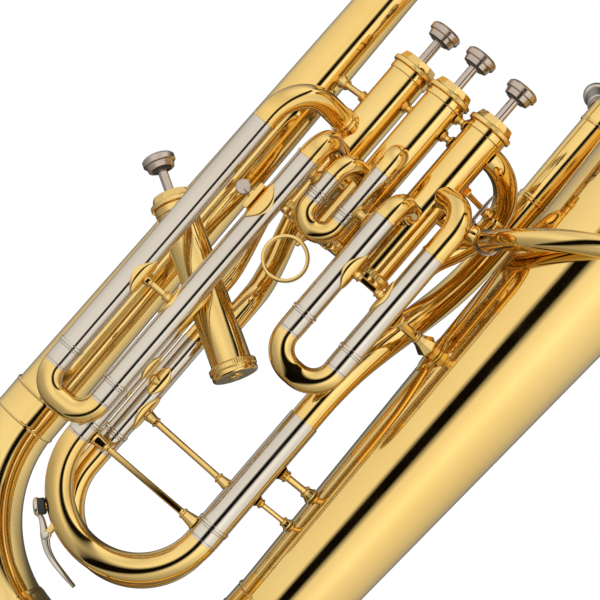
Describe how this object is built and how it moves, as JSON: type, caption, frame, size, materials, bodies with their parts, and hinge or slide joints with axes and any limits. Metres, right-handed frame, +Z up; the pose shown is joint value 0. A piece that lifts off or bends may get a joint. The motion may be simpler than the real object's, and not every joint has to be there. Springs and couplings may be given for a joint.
{
  "type": "baritone horn",
  "caption": "Upright valved brass horn with an upward bell, coiled conical tubing, sprung piston valves, pull-out tuning slides and water keys.",
  "frame": {"origin": "under the middle of the horn's box, level with the underside of the bottom bow's guard, bell up", "axes": "+X to the right as the audience sees it, +Y towards the player, +Z up along the valves"},
  "size_m": [0.4031, 0.2804, 0.6848],
  "materials": {
    "lacquered_brass": "clear gold lacquer over polished brass",
    "nickel_silver": "drawn and polished nickel silver",
    "nickel_plate": "satin nickel plate, knurled rims",
    "stainless_steel": "lapped steel",
    "dark_felt": "pressed wool felt, dark",
    "black_rubber": "moulded pad"
  },
  "bodies": {
    "horn": {"bell": "lacquered_brass", "bottom_bow": "lacquered_brass", "bow_guard": "lacquered_brass", "outer_branch": "lacquered_brass", "top_bow": "lacquered_brass", "inner_branch": "lacquered_brass", "ferrules": "nickel_silver", "leadpipe": "lacquered_brass", "mouthpiece_receiver": "nickel_silver", "casing_1": "lacquered_brass", "casing_2": "lacquered_brass", "casing_3": "lacquered_brass", "casing_4": "lacquered_brass", "knuckles": "lacquered_brass", "top_cap_1": "lacquered_brass", "top_cap_2": "lacquered_brass", "top_cap_3": "lacquered_brass", "top_cap_4": "lacquered_brass", "bottom_caps": "lacquered_brass", "spring_1": "stainless_steel", "spring_2": "stainless_steel", "spring_3": "stainless_steel", "spring_4": "stainless_steel", "slide_1_tubes": "nickel_silver", "slide_2_tubes": "nickel_silver", "slide_3_tubes": "nickel_silver", "slide_4_tubes": "nickel_silver", "main_slide_tubes": "nickel_silver", "comp_tubes": "nickel_silver", "return_tube": "lacquered_brass", "transfer_tubes": "lacquered_brass", "braces": "lacquered_brass", "lyre_holder": "lacquered_brass"},
    "valve_1": {"piston_1": "stainless_steel", "button_1": "nickel_plate", "felt_1": "dark_felt"},
    "valve_2": {"piston_2": "stainless_steel", "button_2": "nickel_plate", "felt_2": "dark_felt"},
    "valve_3": {"piston_3": "stainless_steel", "button_3": "nickel_plate", "felt_3": "dark_felt"},
    "valve_4": {"piston_4": "stainless_steel", "button_4": "nickel_plate", "felt_4": "dark_felt"},
    "slide_1": {"slide_1_bow": "lacquered_brass"},
    "slide_2": {"slide_2_bow": "lacquered_brass", "pull_ring": "lacquered_brass"},
    "slide_3": {"slide_3_bow": "lacquered_brass"},
    "slide_4": {"slide_4_bow": "lacquered_brass"},
    "main_slide": {"main_slide_bow": "lacquered_brass", "main_slide_brace": "lacquered_brass", "key_saddle_1": "lacquered_brass"},
    "comp_1": {"comp_slide_1": "lacquered_brass"},
    "comp_2": {"comp_slide_2": "lacquered_brass"},
    "comp_3": {"comp_slide_3": "lacquered_brass"},
    "key_1": {"water_key_1": "nickel_silver", "key_pad_1": "black_rubber"},
    "key_2": {"water_key_2": "nickel_silver"},
    "clamp_screw": {"lyre_screw": "nickel_plate"}
  },
  "joints": [
    {"name": "valve_1_press", "type": "slide", "parent": "horn", "child": "valve_1", "axis": [0, 0, -1], "range_m": [0, 0.0165], "stiffness_N_per_m": 400, "springref_m": -0.012, "deforming": ["spring_1"]},
    {"name": "valve_2_press", "type": "slide", "parent": "horn", "child": "valve_2", "axis": [0, 0, -1], "range_m": [0, 0.0165], "stiffness_N_per_m": 400, "springref_m": -0.012, "deforming": ["spring_2"]},
    {"name": "valve_3_press", "type": "slide", "parent": "horn", "child": "valve_3", "axis": [0, 0, -1], "range_m": [0, 0.0165], "stiffness_N_per_m": 400, "springref_m": -0.012, "deforming": ["spring_3"]},
    {"name": "valve_4_press", "type": "slide", "parent": "horn", "child": "valve_4", "axis": [0.8521, -0.2251, -0.4726], "range_m": [0, 0.0165], "stiffness_N_per_m": 400, "springref_m": -0.012, "deforming": ["spring_4"]},
    {"name": "slide_1_pull", "type": "slide", "parent": "horn", "child": "slide_1", "axis": [0, 0, -1], "range_m": [0, 0.05]},
    {"name": "slide_2_pull", "type": "slide", "parent": "horn", "child": "slide_2", "axis": [0, 0, -1], "range_m": [0, 0.01]},
    {"name": "slide_3_pull", "type": "slide", "parent": "horn", "child": "slide_3", "axis": [0, 0, -1], "range_m": [0, 0.09]},
    {"name": "slide_4_pull", "type": "slide", "parent": "horn", "child": "slide_4", "axis": [0, 0, -1], "range_m": [0, 0.025]},
    {"name": "main_slide_pull", "type": "slide", "parent": "horn", "child": "main_slide", "axis": [0, 0, -1], "range_m": [0, 0.04]},
    {"name": "comp_1_pull", "type": "slide", "parent": "horn", "child": "comp_1", "axis": [0, 0, -1], "range_m": [0, 0.007]},
    {"name": "comp_2_pull", "type": "slide", "parent": "horn", "child": "comp_2", "axis": [0, 0, -1], "range_m": [0, 0.007]},
    {"name": "comp_3_pull", "type": "slide", "parent": "horn", "child": "comp_3", "axis": [0, 0, -1], "range_m": [0, 0.007]},
    {"name": "key_1_lift", "type": "hinge", "parent": "main_slide", "child": "key_1", "pos_m": [-0.0955, -0.0145, 0.092], "axis": [0, -1, 0], "range_deg": [0, 15], "stiffness_Nm_per_rad": 0.03, "springref_deg": -17.19},
    {"name": "key_2_lift", "type": "hinge", "parent": "horn", "child": "key_2", "pos_m": [-0.0215, -0.0095, 0.412], "axis": [-1, 0, 0], "range_deg": [0, 12], "stiffness_Nm_per_rad": 0.02, "springref_deg": -17.19},
    {"name": "clamp_screw_turn", "type": "hinge", "parent": "horn", "child": "clamp_screw", "pos_m": [-0.139, -0.036, 0.335], "axis": [1, 0, 0], "continuous": true}
  ]
}
